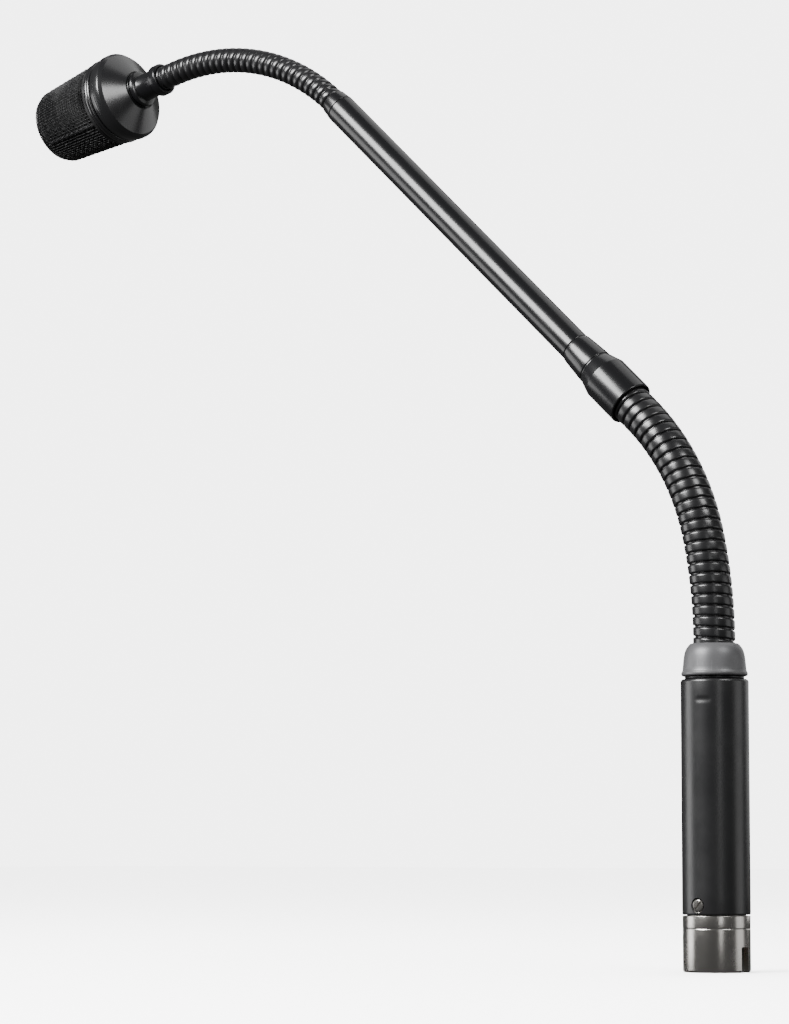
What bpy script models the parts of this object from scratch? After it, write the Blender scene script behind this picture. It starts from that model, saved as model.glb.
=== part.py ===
"""Gooseneck podium microphone: an XLR plug and base tube, two flexible necks joined by a
straight stem, and a small capsule head. Metres, +Z up. The origin is the centre of the plug's
open end; the arm leans towards -Y, in the YZ plane."""

from math import cos, pi, radians, sin

import bpy
from mathutils import Matrix, Vector

MM = 0.001
GAP = 0.3 * MM  # between pieces that touch

# Base tube and plug
TUBE_RADIUS = 9.5 * MM
TUBE_BORE = 8.5 * MM
TUBE_TOP = 81.1 * MM
SHELL_RADIUS = 9.4 * MM
SHELL_BORE = 8.05 * MM
SHELL_TOP = 15.5 * MM
PIN_RADIUS = 1.2 * MM
PIN_CIRCLE = 4.6 * MM
PIN_ANGLES = {"pin_1": 40, "pin_2": 140, "pin_3": 270}
INSERT_FACE = 12.6 * MM
SCREW_HEIGHT = 18.4 * MM
CRIMP_HEIGHT = 75.2 * MM
CRIMP_ANGLES = {"crimp_1": 14, "crimp_2": 194}

# Neck seat
COLLAR_BOTTOM = 81.9 * MM
COLLAR_TOP = 90.8 * MM
COLLAR_RADIUS = 9.3 * MM

# Course of the arm above the collar, as stretches of (length, turn in degrees towards -Y)
ARM = (
    (1.0 * MM, 0.0),
    (30.0 * MM, 13.0),
    (42.0 * MM, 34.3),
    (154.5 * MM, 0.0),
    (74.5 * MM, 55.0),
    (60.0 * MM, 0.0),
)

# Necks: outer and inner radius, first hinge, hinge spacing and gap, measured along the arm
LINKS = 7
RIBS = 3
LOWER_NECK = dict(outer=5.9 * MM, inner=3.2 * MM, first=4.0 * MM, step=10.0 * MM,
                  gap=1.3 * MM, sides=16)
UPPER_NECK = dict(outer=3.9 * MM, inner=2.2 * MM, first=233.0 * MM, step=9.8 * MM,
                  gap=0.95 * MM, sides=14)
RIB_DEPTH = 0.35 * MM
LOWER_CABLE_RADIUS = 1.4 * MM
UPPER_CABLE_RADIUS = 1.1 * MM

# Stations along the arm
COUPLER_RIM = 78.0 * MM
STEM_BOTTOM = 106.0 * MM
STEM_TOP = 223.5 * MM
FERRULE_TOP = 229.0 * MM
HEAD_FERRULE = 305.0 * MM
HEAD_REAR = 315.6 * MM

COUPLER_RADIUS = 6.95 * MM
STEM_RADIUS = 4.65 * MM
STEM_BORE = 3.8 * MM
HEAD_RADIUS = 14.4 * MM
GRILLE_FOOT = 12.4 * MM
GRILLE_RADIUS = 13.8 * MM
GRILLE_LENGTH = 26.5 * MM

COLLECTION = "gooseneck_microphone"


def material(name, colour, roughness, metallic=0.0):
    made = bpy.data.materials.new(name)
    made.use_nodes = True
    shader = made.node_tree.nodes["Principled BSDF"]
    shader.inputs["Base Color"].default_value = (*colour, 1.0)
    shader.inputs["Roughness"].default_value = roughness
    shader.inputs["Metallic"].default_value = metallic
    return made


def add(name, mesh, look, parent=None, location=(0, 0, 0), rotation=(0, 0, 0)):
    """A mesh as a named object with its own material, placed in its parent's frame."""
    obj = bpy.data.objects.new(name, mesh)
    obj.data.materials.append(material(name, *look))
    obj.parent = parent
    obj.location = location
    obj.rotation_euler = rotation
    bpy.data.collections[COLLECTION].objects.link(obj)
    return obj


def profile_mesh(name, points, closed):
    mesh = bpy.data.meshes.new(name)
    count = len(points)
    edges = [(i, i + 1) for i in range(count - 1)] + ([(count - 1, 0)] if closed else [])
    mesh.from_pydata([(r, 0, z) for r, z in points], edges, [])
    return mesh


def turned(name, points, look, sides=32, **place):
    """A turned shape: points (radius, height) in millimetres run down the outer side, then up
    the bore if there is one."""
    closed = points[0][0] > 0 and points[-1][0] > 0
    mesh = profile_mesh(name, [(r * MM, z * MM) for r, z in points], closed)
    obj = add(name, mesh, look, **place)
    screw = obj.modifiers.new("Turn", "SCREW")
    screw.steps = screw.render_steps = sides
    screw.use_merge_vertices = True
    screw.merge_threshold = 0.00001
    screw.use_smooth_shade = True
    return obj


def applied(obj):
    """The object with its modifiers made into its mesh."""
    graph = bpy.context.evaluated_depsgraph_get()
    mesh = bpy.data.meshes.new_from_object(obj.evaluated_get(graph))
    obj.modifiers.clear()
    obj.data = mesh
    return obj


def arc(centre_r, centre_z, radius, start, end, count=4):
    """Points of a quarter turn in a profile, in millimetres, from angle start to end."""
    angles = [radians(start + (end - start) * i / count) for i in range(count + 1)]
    return [(centre_r + radius * cos(a), centre_z + radius * sin(a)) for a in angles]


def cutter_box(name, size, location, parent=None):
    bpy.ops.mesh.primitive_cube_add(size=1)
    return as_cutter(name, parent, location, size)


def cutter_rod(name, radius, depth, location, rotation=(0, 0, 0), parent=None):
    bpy.ops.mesh.primitive_cylinder_add(vertices=20, radius=radius, depth=depth)
    return as_cutter(name, parent, location, (1, 1, 1), rotation)


def as_cutter(name, parent, location, scale, rotation=(0, 0, 0)):
    obj = bpy.context.active_object
    obj.data.transform(Matrix.Diagonal((*scale, 1)))
    obj.name = name
    obj.parent = parent
    obj.location = location
    obj.rotation_euler = rotation
    obj.hide_render = True
    obj.display_type = "WIRE"
    for owner in obj.users_collection:
        owner.objects.unlink(obj)
    bpy.data.collections["cutters"].objects.link(obj)
    return obj


def cut(obj, *cutters):
    for cutter in cutters:
        boolean = obj.modifiers.new(cutter.name, "BOOLEAN")
        boolean.operation = "DIFFERENCE"
        boolean.object = cutter


def box(name, size, look, location, parent=None, bevel=0.0):
    bpy.ops.mesh.primitive_cube_add(size=1)
    cube = bpy.context.active_object
    mesh = cube.data
    bpy.data.objects.remove(cube)
    mesh.transform(Matrix.Diagonal((*size, 1)))
    obj = add(name, mesh, look, parent, location)
    if bevel:
        edge = obj.modifiers.new("Edges", "BEVEL")
        edge.width = bevel
        edge.segments = 2
    return obj


def hex_nut(name, radius, bore, bottom, top, parent=None):
    bpy.ops.mesh.primitive_cylinder_add(vertices=6, radius=radius, depth=top - bottom)
    hexagon = bpy.context.active_object
    mesh = hexagon.data
    bpy.data.objects.remove(hexagon)
    middle = (0, 0, (bottom + top) / 2)
    nut = add(name, mesh, NICKEL, parent, middle)
    cut(nut, cutter_rod(name + "_bore", bore, 3 * (top - bottom), middle, parent=parent))


def arm_at(station):
    """Place and elevation angle of the arm's centre line, at a distance along it."""
    place, angle = Vector((0, 0, COLLAR_TOP)), pi / 2
    for length, turn in ARM:
        run = min(station, length)
        bend = radians(turn) * run / length
        chord = run * (sin(bend / 2) / (bend / 2) if bend else 1)
        middle = angle - bend / 2
        place += Vector((0, -cos(middle), sin(middle))) * chord
        angle -= bend
        station -= run
        if station <= 0:
            break
    return place, angle


def axis_at(name, station):
    """An empty on the arm, whose +Z runs along it."""
    place, angle = arm_at(station)
    empty = bpy.data.objects.new(name, None)
    empty.location = place
    empty.rotation_euler = (pi / 2 - angle, 0, 0)
    empty.empty_display_size = 0.01
    bpy.data.collections[COLLECTION].objects.link(empty)
    return empty


def bend_along_arm(obj, origin):
    """Bends a straight turned shape, whose Z is the distance from a station, along the arm."""
    base, angle = arm_at(origin)
    to_local = Matrix.Rotation(pi / 2 - angle, 4, "X").inverted()
    for vertex in obj.data.vertices:
        place, tilt = arm_at(origin + vertex.co.z)
        across = Vector((vertex.co.x, vertex.co.y * sin(tilt), vertex.co.y * cos(tilt)))
        vertex.co = to_local @ (place + across - base)
    obj.location = base
    obj.rotation_euler = (pi / 2 - angle, 0, 0)


def neck_piece(name, neck, start, end, ribs, look):
    """A ribbed length of neck between two stations, with its origin on its lower end's hinge."""
    outer, inner, sides = neck["outer"] / MM, neck["inner"] / MM, neck["sides"]
    length, depth = (end - start) / MM, RIB_DEPTH / MM
    pitch = length / ribs
    points = [(outer - depth, length)]
    for rib in reversed(range(ribs)):
        low = rib * pitch
        points += [(outer, low + 0.78 * pitch), (outer, low + 0.22 * pitch)]
        points += [(outer - depth, low)]
    points += [(inner, 0), (inner, length)]
    hinge = start - neck["gap"] / 2
    points = [(r, z + (start - hinge) / MM) for r, z in points]
    obj = applied(turned(name, points, look, sides))
    bend_along_arm(obj, hinge)
    return obj


def neck_chain(prefix, neck, root_from, end_to, look):
    """The fixed root, the hinged links and the end of one neck."""
    half = neck["gap"] / 2
    last = neck["first"] + LINKS * neck["step"]
    neck_piece(prefix + "_root", neck, root_from, neck["first"] - half, 3, look)
    for link in range(LINKS):
        start = neck["first"] + link * neck["step"]
        name = f"{prefix}_link_{link + 1}"
        neck_piece(name, neck, start + half, start + neck["step"] - half, RIBS, look)
    neck_piece(prefix + "_end", neck, last + half, end_to, 4, look)


def cable(name, points, radius, look, parent=None):
    """A round cable along the given points, as one closed mesh."""
    curve = bpy.data.curves.new(name, "CURVE")
    curve.dimensions = "3D"
    curve.bevel_depth = radius
    curve.bevel_resolution = 2
    curve.use_fill_caps = True
    spline = curve.splines.new("POLY")
    spline.points.add(len(points) - 1)
    for target, point in zip(spline.points, points):
        target.co = (*point, 1)
    obj = bpy.data.objects.new(name, curve)
    obj.data.materials.append(material(name, *look))
    obj.parent = parent
    bpy.data.collections[COLLECTION].objects.link(obj)
    return obj


def arm_cable(name, start, end, radius, look, count=13):
    stations = [start + (end - start) * i / (count - 1) for i in range(count)]
    return cable(name, [arm_at(s)[0] for s in stations], radius, look)


def straight_cable(name, start, end, radius, look, parent=None):
    return cable(name, [start, (Vector(start) + Vector(end)) / 2, end], radius, look, parent)


BLACK = ((0.018, 0.018, 0.02), 0.38, 0.6)
GLOSS_BLACK = ((0.012, 0.012, 0.014), 0.22, 0.7)
NECK_BLACK = ((0.02, 0.02, 0.022), 0.3, 0.8)
SATIN_GREY = ((0.18, 0.18, 0.19), 0.35, 0.9)
DARK_STEEL = ((0.07, 0.07, 0.075), 0.45, 0.9)
NICKEL = ((0.62, 0.6, 0.56), 0.25, 1.0)
GOLD = ((0.83, 0.6, 0.2), 0.25, 1.0)
PLASTIC = ((0.02, 0.02, 0.02), 0.55)
BOARD_GREEN = ((0.02, 0.13, 0.05), 0.5)
RUBBER = ((0.012, 0.012, 0.012), 0.8)
FOAM = ((0.015, 0.015, 0.016), 0.95)
CABLE_GREY = ((0.05, 0.05, 0.055), 0.6)


def build_plug():
    r, bore, top = SHELL_RADIUS / MM, SHELL_BORE / MM, SHELL_TOP / MM
    shell = turned("plug_shell", [
        (8.2, 24.0), (8.2, top), (r, top), *arc(r - 0.4, 0.4, 0.4, 0, -90, 2),
        (bore, 0.0), (bore, top - 0.5), (7.2, top - 0.5), (7.2, 24.0)], NICKEL, 28)
    cut(shell,
        cutter_box("keyway", (3.2 * MM, 4 * MM, 9 * MM), (0, SHELL_RADIUS, 2.5 * MM)),
        cutter_box("latch_window", (4.4 * MM, 4 * MM, 3.6 * MM), (0, -SHELL_RADIUS, 8.5 * MM)),
        cutter_rod("shell_screw_hole", 1.3 * MM, 6 * MM, (8 * MM, 0, SCREW_HEIGHT),
                   (0, pi / 2, 0)))
    face = INSERT_FACE / MM
    insert = turned("plug_insert", [
        (0, 19.0), (6.0, 19.0), (6.0, 14.7), (7.7, 14.7), (7.7, face), (0, face)], PLASTIC, 24)
    r = PIN_RADIUS / MM
    for name, degrees in PIN_ANGLES.items():
        spot = Vector((cos(radians(degrees)), sin(radians(degrees)), 0)) * PIN_CIRCLE
        hole = cutter_rod(name + "_hole", PIN_RADIUS + GAP, 20 * MM, (*spot.xy, 16 * MM))
        cut(insert, hole)
        turned(name, [
            (0, 22.4), (r - 0.3, 22.4), (r, 21.8), (r, 1.6), (r - 0.35, 1.0), (0, 0.8)],
            GOLD, 12, location=spot)
    screw = turned("insert_screw", [
        (0, 0.8), (1.5, 0.8), (1.8, 0.5), (1.8, 0.1), (1.0, 0.1), (1.0, -2.3), (0, -2.3)],
        NICKEL, 16, location=(8.6 * MM, 0, SCREW_HEIGHT), rotation=(0, pi / 2, 0))
    slot_at = Vector((9.4 * MM, 0, SCREW_HEIGHT))
    slot = cutter_box("screw_slot", (6 * MM, 0.5 * MM, 0.8 * MM), slot_at)
    slot.rotation_euler = Matrix.Rotation(pi / 2, 3, "Y").to_euler()
    slot.rotation_euler.rotate(Matrix.Rotation(radians(42), 3, "X"))
    cut(screw, slot)


def build_tube():
    r, bore, top, foot = (v / MM for v in (TUBE_RADIUS, TUBE_BORE, TUBE_TOP, SHELL_TOP + GAP))
    tube = turned("base_tube", [
        (6.3, top), (r - 0.9, top), *arc(r - 0.9, top - 0.9, 0.9, 68, 0, 3),
        (r, foot), (bore, foot), (bore, top - 3.4), (6.3, top - 3.4)], BLACK, 32)
    cut(tube, cutter_rod("tube_screw_seat", 2.1 * MM, 6 * MM, (10 * MM, 0, SCREW_HEIGHT),
                         (0, pi / 2, 0)))
    for name, degrees in CRIMP_ANGLES.items():
        turn = radians(degrees)
        spot = Vector((cos(turn), sin(turn), 0)) * (TUBE_RADIUS + 2.1 * MM)
        spot.z = CRIMP_HEIGHT
        cut(tube, cutter_rod(name, 2.4 * MM, 12 * MM, spot, (pi / 2, 0, turn)))
    box("preamp_board", (12 * MM, 1.6 * MM, 40 * MM), BOARD_GREEN, (0, 0, 46 * MM))
    turned("output_transformer", [
        (0, 6.0), (3.0, 6.0), (3.3, 5.7), (3.3, -5.7), (3.0, -6.0), (0, -6.0)], DARK_STEEL, 20,
        location=(0, 4.5 * MM, 34 * MM))
    turned("filter_capacitor", [
        (0, 4.5), (2.3, 4.5), (2.5, 4.3), (2.5, -4.5), (0, -4.5)], PLASTIC, 20,
        location=(0, 3.7 * MM, 52 * MM))
    box("preamp_chip", (4 * MM, 1.6 * MM, 5 * MM), PLASTIC, (0, -1.95 * MM, 46 * MM),
        bevel=0.2 * MM)
    straight_cable("base_lead", (0, 0, 66.3 * MM), (0, 0, 81.5 * MM), 1.3 * MM, CABLE_GREY)


def build_neck_seat():
    turned("neck_bush", [
        (6.0, 81.6), (6.0, 71.3), (3.0, 71.3), (3.0, 81.6)], DARK_STEEL, 18)
    hex_nut("bush_nut", 8.0 * MM, 6.3 * MM, 74.4 * MM, 77.4 * MM)
    r, low, top = COLLAR_RADIUS / MM, COLLAR_BOTTOM / MM, COLLAR_TOP / MM + 0.2
    turned("neck_collar", [
        (6.25, top), (6.6, top), (7.3, top - 0.65), (7.8, top - 1.35), (8.2, top - 2.2),
        (8.5, top - 3.1), (8.7, top - 4.6), (8.95, low + 1.6), (r - 0.05, low + 1.1),
        (r, low + 0.6), (r - 0.1, low + 0.2), (r - 0.4, low), (3.0, low), (3.0, low + 1.2),
        (6.25, low + 1.2)], SATIN_GREY, 28)
    neck_chain("lower_neck", LOWER_NECK, -7.3 * MM, 89.5 * MM, NECK_BLACK)
    arm_cable("lower_neck_cable", -9.0 * MM, 92.0 * MM, LOWER_CABLE_RADIUS, CABLE_GREY, 17)


def build_stem():
    axis = axis_at("stem_axis", COUPLER_RIM)
    length = (STEM_TOP - COUPLER_RIM) / MM
    start = (STEM_BOTTOM - COUPLER_RIM) / MM
    r = COUPLER_RADIUS / MM
    turned("neck_coupler", [
        (4.75, start - 0.3), (5.05, start - 0.5), (5.35, 24.5), (5.65, 20.5), (5.75, 18.4),
        (5.5, 18.2), (5.5, 17.9), (5.9, 17.7), (r - 0.2, 13.9), (r, 13.2), (r, 0.3),
        (r - 0.15, 0.0), (6.35, 0.0), (6.35, 12.0), (3.9, 12.0), (3.9, start - 0.3)],
        GLOSS_BLACK, 26, parent=axis)
    r = STEM_RADIUS / MM
    turned("stem_tube", [
        (r - 0.05, length), (r, length - 0.2), (r, start + 0.2), (r - 0.15, start), (3.6, start),
        (3.6, 18.0), (2.8, 18.0), (2.8, start + 2), (STEM_BORE / MM, start + 3),
        (STEM_BORE / MM, length)], GLOSS_BLACK, 20, parent=axis)
    turned("stem_ferrule", [
        (4.2, length + 5.5), (4.45, length + 5.5), (5.0, length + 4.4), (5.0, length + 0.7),
        (4.8, length + 0.3), (3.5, length + 0.3), (3.5, length - 6), (1.6, length - 6),
        (1.6, length + 1.4), (4.2, length + 1.4)], GLOSS_BLACK, 20, parent=axis)
    straight_cable("stem_cable", (0, 0, 14.4 * MM), (0, 0, (length - 7) * MM), 1.2 * MM,
                   CABLE_GREY, axis)
    neck_chain("upper_neck", UPPER_NECK, STEM_TOP + 1.7 * MM, HEAD_FERRULE + 2.6 * MM,
               NECK_BLACK)
    arm_cable("upper_neck_cable", STEM_TOP - 6.6 * MM, HEAD_REAR + 0.4 * MM,
              UPPER_CABLE_RADIUS, CABLE_GREY, 17)


def build_head():
    axis = axis_at("head_axis", HEAD_REAR)
    back = (HEAD_FERRULE - HEAD_REAR) / MM
    turned("head_ferrule", [
        (1.5, 5.6), (3.8, 5.6), (3.8, 0.1), (5.6, 0.1), (5.8, -0.1), (5.8, -1.2), (5.5, -1.5),
        (4.35, -1.6), (4.35, back + 3.6), (5.2, back + 3.1), (5.2, back + 0.3), (5.0, back),
        (4.2, back), (4.2, back + 2.9), (1.5, back + 2.9)], GLOSS_BLACK, 20, parent=axis)
    hex_nut("ferrule_nut", 6.2 * MM, 4.1 * MM, 3.2 * MM, 5.3 * MM, axis)
    r = HEAD_RADIUS / MM
    turned("head_housing", [
        (11.8, 9.8), (13.6, 9.8), (13.8, 9.6), (13.8, 8.5), (14.1, 8.1), (r, 7.8), (r, 5.7),
        (r - 0.5, 4.9), (6.1, 0.3), (4.65, 0.3), (4.1, 0.9), (4.1, 2.9), (7.2, 2.9),
        (11.8, 7.2)], BLACK, 28, parent=axis)
    turned("head_ring", [
        (10.2, 12.2), (13.8, 12.2), (14.1, 11.9), (14.1, 10.3), (13.8, 10.0), (10.2, 10.0)],
        GLOSS_BLACK, 28, parent=axis)
    foot, r = GRILLE_FOOT / MM, GRILLE_RADIUS / MM
    front = foot + GRILLE_LENGTH / MM
    turned("grille", [
        (0, front), (7.6, front), *arc(7.7, front - 4.6, 4.5, 75, 0, 5), (r - 0.4, 18.0),
        (r, foot), (r - 0.7, foot), (r - 1.1, 18.0), *arc(7.7, front - 4.6, 3.9, 0, 75, 5),
        (7.6, front - 0.7), (0, front - 0.7)], DARK_STEEL, 26, parent=axis)
    turned("grille_foam", [
        (0, front - 1.0), (7.4, front - 1.0), *arc(7.4, front - 4.7, 3.6, 75, 0, 4),
        (12.5, 13.0), (10.8, 13.0), (10.2, 16.0), *arc(7.4, front - 4.7, 2.2, 0, 75, 3),
        (7.2, front - 2.6), (0, front - 2.6)], FOAM, 16, parent=axis)
    turned("capsule_cradle", [
        (7.1, 23.4), (9.1, 23.4), (9.1, 15.5), (9.9, 15.2), (9.9, 10.0), (7.1, 10.0),
        (7.1, 16.0), (6.4, 16.0), (6.4, 17.2), (7.1, 17.2)], RUBBER, 18, parent=axis)
    turned("capsule", [
        (0, 27.0), (6.5, 27.0), (6.8, 26.7), (6.8, 17.8), (6.5, 17.5), (0, 17.5)], NICKEL, 20,
        parent=axis)
    turned("capsule_mesh", [
        (0, 27.9), (5.8, 27.9), (6.0, 27.7), (6.0, 27.3), (0, 27.3)], DARK_STEEL, 20,
        parent=axis)
    turned("capsule_board", [
        (0, 14.6), (6.6, 14.6), (6.6, 13.2), (0, 13.2)], BOARD_GREEN, 20, parent=axis)
    straight_cable("head_lead", (0, 0, 0.8 * MM), (0, 0, 12.8 * MM), 1.0 * MM, CABLE_GREY, axis)


def main():
    for obj in list(bpy.data.objects):
        bpy.data.objects.remove(obj)
    for name in (COLLECTION, "cutters"):
        bpy.context.scene.collection.children.link(bpy.data.collections.new(name))
    build_plug()
    build_tube()
    build_neck_seat()
    build_stem()
    build_head()


main()
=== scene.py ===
"""Gooseneck podium microphone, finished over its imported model."""

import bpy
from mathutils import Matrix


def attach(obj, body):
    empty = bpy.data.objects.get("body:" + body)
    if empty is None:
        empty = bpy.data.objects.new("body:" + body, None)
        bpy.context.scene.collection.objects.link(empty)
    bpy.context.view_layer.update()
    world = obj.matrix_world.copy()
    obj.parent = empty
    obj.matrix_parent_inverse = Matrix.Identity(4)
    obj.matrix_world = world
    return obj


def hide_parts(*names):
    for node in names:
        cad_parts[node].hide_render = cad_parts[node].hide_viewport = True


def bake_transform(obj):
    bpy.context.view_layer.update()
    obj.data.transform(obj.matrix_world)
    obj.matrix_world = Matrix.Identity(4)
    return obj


bl_info = {
    "name": "Gooseneck Podium Microphone",
    "version": (1, 0, 0),
    "blender": (4, 5, 0),
    "location": "View3D > Sidebar > Microphone",
    "description": "Builds a plug-in gooseneck microphone with wound necks and a mesh head",
    "category": "Object",
}

from math import atan2, cos, pi, radians, sin

import bmesh
import bpy
from bpy.props import FloatProperty, FloatVectorProperty, IntProperty, PointerProperty
from mathutils import Vector

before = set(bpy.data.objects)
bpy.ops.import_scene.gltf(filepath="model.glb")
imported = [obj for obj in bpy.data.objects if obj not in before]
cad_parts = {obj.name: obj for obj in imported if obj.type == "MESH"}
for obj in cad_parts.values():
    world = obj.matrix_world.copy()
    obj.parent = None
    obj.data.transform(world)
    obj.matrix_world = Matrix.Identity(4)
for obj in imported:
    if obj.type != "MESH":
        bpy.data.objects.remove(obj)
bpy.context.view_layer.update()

MM = 0.001
ARM = ((1.0, 0.0), (30.0, 13.0), (42.0, 34.3), (154.5, 0.0), (74.5, 55.0), (60.0, 0.0))
COLLAR_TOP = 90.8
COUPLER_RIM = 78.0
HEAD_REAR = 315.6
SCREW_HEIGHT = 18.4
CRIMP_HEIGHT = 75.2
GRILLE_TAPER = 1.6
MERGE_DISTANCE = 0.000002


def size(label, default, help_text=""):
    return FloatProperty(name=label, description=help_text or label, default=default, min=0.0,
                         max=1.0, unit="LENGTH", precision=5)


def colour(label, default, help_text=""):
    return FloatVectorProperty(name=label, description=help_text or label, default=default,
                               size=3, min=0.0, max=1.0, subtype="COLOR")


class MicrophoneSizes(bpy.types.PropertyGroup):
    tube_radius: size("Tube radius", 9.5 * MM, help_text="Outer radius of the base tube")
    collar_radius: size("Collar radius", 9.3 * MM, help_text="Radius at the collar's lip")
    lower_neck_radius: size("Lower neck radius", 5.9 * MM)
    lower_neck_pitch: size("Lower neck pitch", 3.0 * MM, help_text="Length of one turn")
    upper_neck_radius: size("Upper neck radius", 3.9 * MM)
    upper_neck_pitch: size("Upper neck pitch", 2.67 * MM, help_text="Length of one turn")
    stem_radius: size("Stem radius", 4.65 * MM)
    coupler_radius: size("Coupler radius", 6.95 * MM)
    head_radius: size("Head radius", 14.4 * MM, help_text="Radius at the widest rim")
    grille_radius: size("Grille radius", 13.8 * MM, help_text="Outer radius at its foot")
    mesh_cell: size("Mesh cell", 1.05 * MM, help_text="Spacing of the grille's wires")
    round_steps: IntProperty(name="Round steps", description="Faces round a turned piece",
                             default=96, min=24, max=192)


class MicrophoneFinish(bpy.types.PropertyGroup):
    enamel: colour("Enamel", (0.011, 0.011, 0.012), "Satin black of the tube and the head")
    gloss: colour("Gloss", (0.008, 0.008, 0.009), "Gloss black of the stem and coupler")
    neck: colour("Neck", (0.012, 0.012, 0.013), "Blackened steel of the necks")
    collar: colour("Collar", (0.155, 0.155, 0.16), "Satin grey of the collar")
    mesh: colour("Mesh", (0.016, 0.016, 0.017), "Coated wire of the grille")
    nickel: colour("Nickel", (0.58, 0.56, 0.53), "Plated shell of the plug")
    gold: colour("Gold", (0.8, 0.56, 0.2), "Plated contact pins")


# ---------------------------------------------------------------- finishes


def new_group(name, inputs, outputs):
    group = bpy.data.node_groups.new(name, "ShaderNodeTree")
    for label, kind, value in inputs:
        socket = group.interface.new_socket(name=label, in_out="INPUT", socket_type=kind)
        if value is not None:
            socket.default_value = value
    for label, kind in outputs:
        group.interface.new_socket(name=label, in_out="OUTPUT", socket_type=kind)
    return group, group.nodes.new("NodeGroupInput"), group.nodes.new("NodeGroupOutput")


def link(tree, source, target):
    tree.links.new(source, target)


def math_node(tree, operation, first, second, clamp=False):
    node = tree.nodes.new("ShaderNodeMath")
    node.operation = operation
    node.use_clamp = clamp
    for socket, value in zip(node.inputs, (first, second)):
        if isinstance(value, (int, float)):
            socket.default_value = value
        else:
            link(tree, value, socket)
    return node.outputs[0]


def noise(tree, vector, scale, detail=3.0, roughness=0.55):
    node = tree.nodes.new("ShaderNodeTexNoise")
    node.inputs["Scale"].default_value = scale
    node.inputs["Detail"].default_value = detail
    node.inputs["Roughness"].default_value = roughness
    link(tree, vector, node.inputs["Vector"])
    return node.outputs["Fac"]


def spread(tree, value, low, high, to_low=0.0, to_high=1.0):
    node = tree.nodes.new("ShaderNodeMapRange")
    for label, number in zip(("From Min", "From Max", "To Min", "To Max"),
                             (low, high, to_low, to_high)):
        node.inputs[label].default_value = number
    link(tree, value, node.inputs["Value"])
    return node.outputs["Result"]


def grain_group():
    """Fine orange-peel of paint or plating: height for a Bump, and a slow roughness drift."""
    group, inside, out = new_group(
        "paint_grain",
        [("Vector", "NodeSocketVector", None), ("Grain Size", "NodeSocketFloat", 2600.0),
         ("Depth", "NodeSocketFloat", 0.5)],
        [("Height", "NodeSocketFloat"), ("Drift", "NodeSocketFloat")])
    fine = group.nodes.new("ShaderNodeTexNoise")
    fine.inputs["Detail"].default_value = 2.0
    link(group, inside.outputs["Vector"], fine.inputs["Vector"])
    link(group, inside.outputs["Grain Size"], fine.inputs["Scale"])
    height = math_node(group, "MULTIPLY", fine.outputs["Fac"], inside.outputs["Depth"])
    drift = noise(group, inside.outputs["Vector"], 90.0, 4.0)
    link(group, height, out.inputs["Height"])
    link(group, spread(group, drift, 0.3, 0.7), out.inputs["Drift"])
    return group


def handling_and_glint_group():
    """Smudges and fine scratches of handling, as one mask; on the grille's wire it also places
    painted glints.
    """
    group, inside, out = new_group(
        "handling_and_glint_marks",
        [("Vector", "NodeSocketVector", None), ("Amount", "NodeSocketFloat", 0.5)],
        [("Mask", "NodeSocketFloat")])
    smudge = spread(group, noise(group, inside.outputs["Vector"], 55.0, 5.0, 0.65), 0.48, 0.72)
    stretch = group.nodes.new("ShaderNodeMapping")
    stretch.inputs["Scale"].default_value = (1800.0, 1500.0, 120.0)
    stretch.inputs["Rotation"].default_value = (0.35, 0.2, 0.4)
    link(group, inside.outputs["Vector"], stretch.inputs["Vector"])
    hair = spread(group, noise(group, stretch.outputs["Vector"], 1.0, 2.0), 0.68, 0.74)
    both = math_node(group, "MAXIMUM", smudge, hair)
    link(group, math_node(group, "MULTIPLY", both, inside.outputs["Amount"]),
         out.inputs["Mask"])
    return group


def turning_group():
    """Fine rings left by turning, stacked along Z."""
    group, inside, out = new_group(
        "turning_marks",
        [("Vector", "NodeSocketVector", None), ("Depth", "NodeSocketFloat", 0.5)],
        [("Height", "NodeSocketFloat"), ("Mask", "NodeSocketFloat")])
    stretch = group.nodes.new("ShaderNodeMapping")
    stretch.inputs["Scale"].default_value = (25.0, 25.0, 5200.0)
    link(group, inside.outputs["Vector"], stretch.inputs["Vector"])
    rings = noise(group, stretch.outputs["Vector"], 1.0, 3.0)
    link(group, math_node(group, "MULTIPLY", rings, inside.outputs["Depth"]),
         out.inputs["Height"])
    link(group, spread(group, rings, 0.35, 0.65), out.inputs["Mask"])
    return group


GROUPS = {}


def group_node(tree, name, vector, **values):
    node = tree.nodes.new("ShaderNodeGroup")
    node.node_tree = GROUPS[name]
    link(tree, vector, node.inputs["Vector"])
    for label, value in values.items():
        node.inputs[label.replace("_", " ")].default_value = value
    return node


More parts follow.
